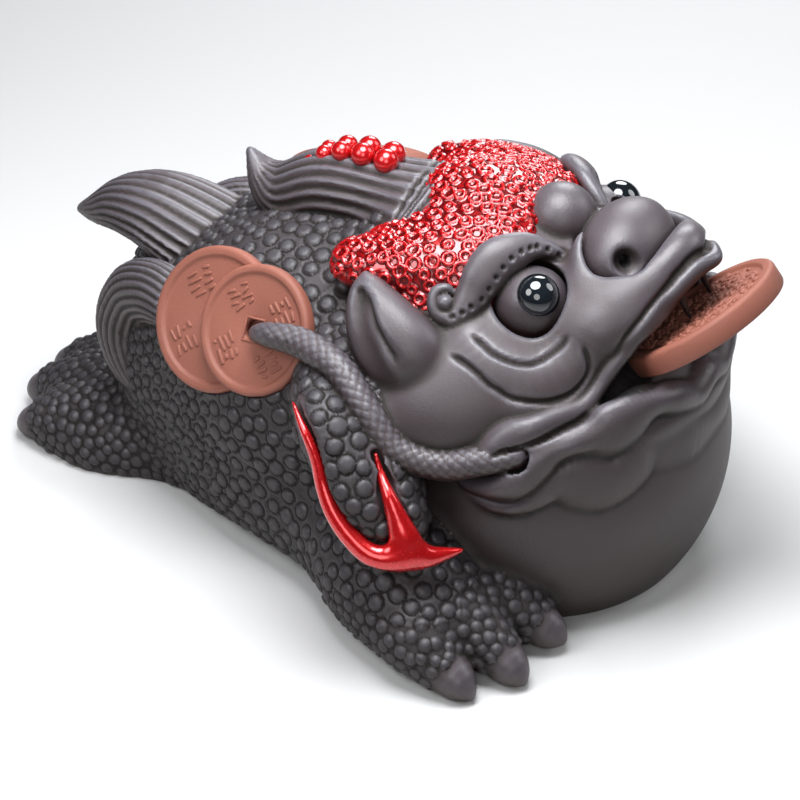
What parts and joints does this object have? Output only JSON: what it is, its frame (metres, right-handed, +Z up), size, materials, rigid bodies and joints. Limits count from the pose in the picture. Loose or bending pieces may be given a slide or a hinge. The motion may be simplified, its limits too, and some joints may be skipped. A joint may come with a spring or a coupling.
{
  "type": "money toad figure",
  "caption": "Moulded clay figure of a crouching toad, scaly and flat-bottomed, with a tipped coin held in its open mouth and coins at its flanks.",
  "frame": {"origin": "on the table, in the middle of the flat underside", "axes": "+X the way the toad faces, +Y its left side, +Z up"},
  "size_m": [0.1616, 0.1214, 0.078],
  "materials": {
    "clay": "fine unglazed clay, dark grey-brown, matt with a faint sheen",
    "red_clay": "fine unglazed red-brown clay, matt",
    "red_glaze": "metallic red glaze, glossy",
    "bead": "polished black bead"
  },
  "bodies": {
    "root": {"toad_body": "clay", "mouth_coin": "red_clay", "right_eye_bead": "bead", "right_large_coin": "red_clay", "right_small_coin": "red_clay", "left_eye_bead": "bead", "left_large_coin": "red_clay", "left_small_coin": "red_clay"}
  },
  "joints": []
}
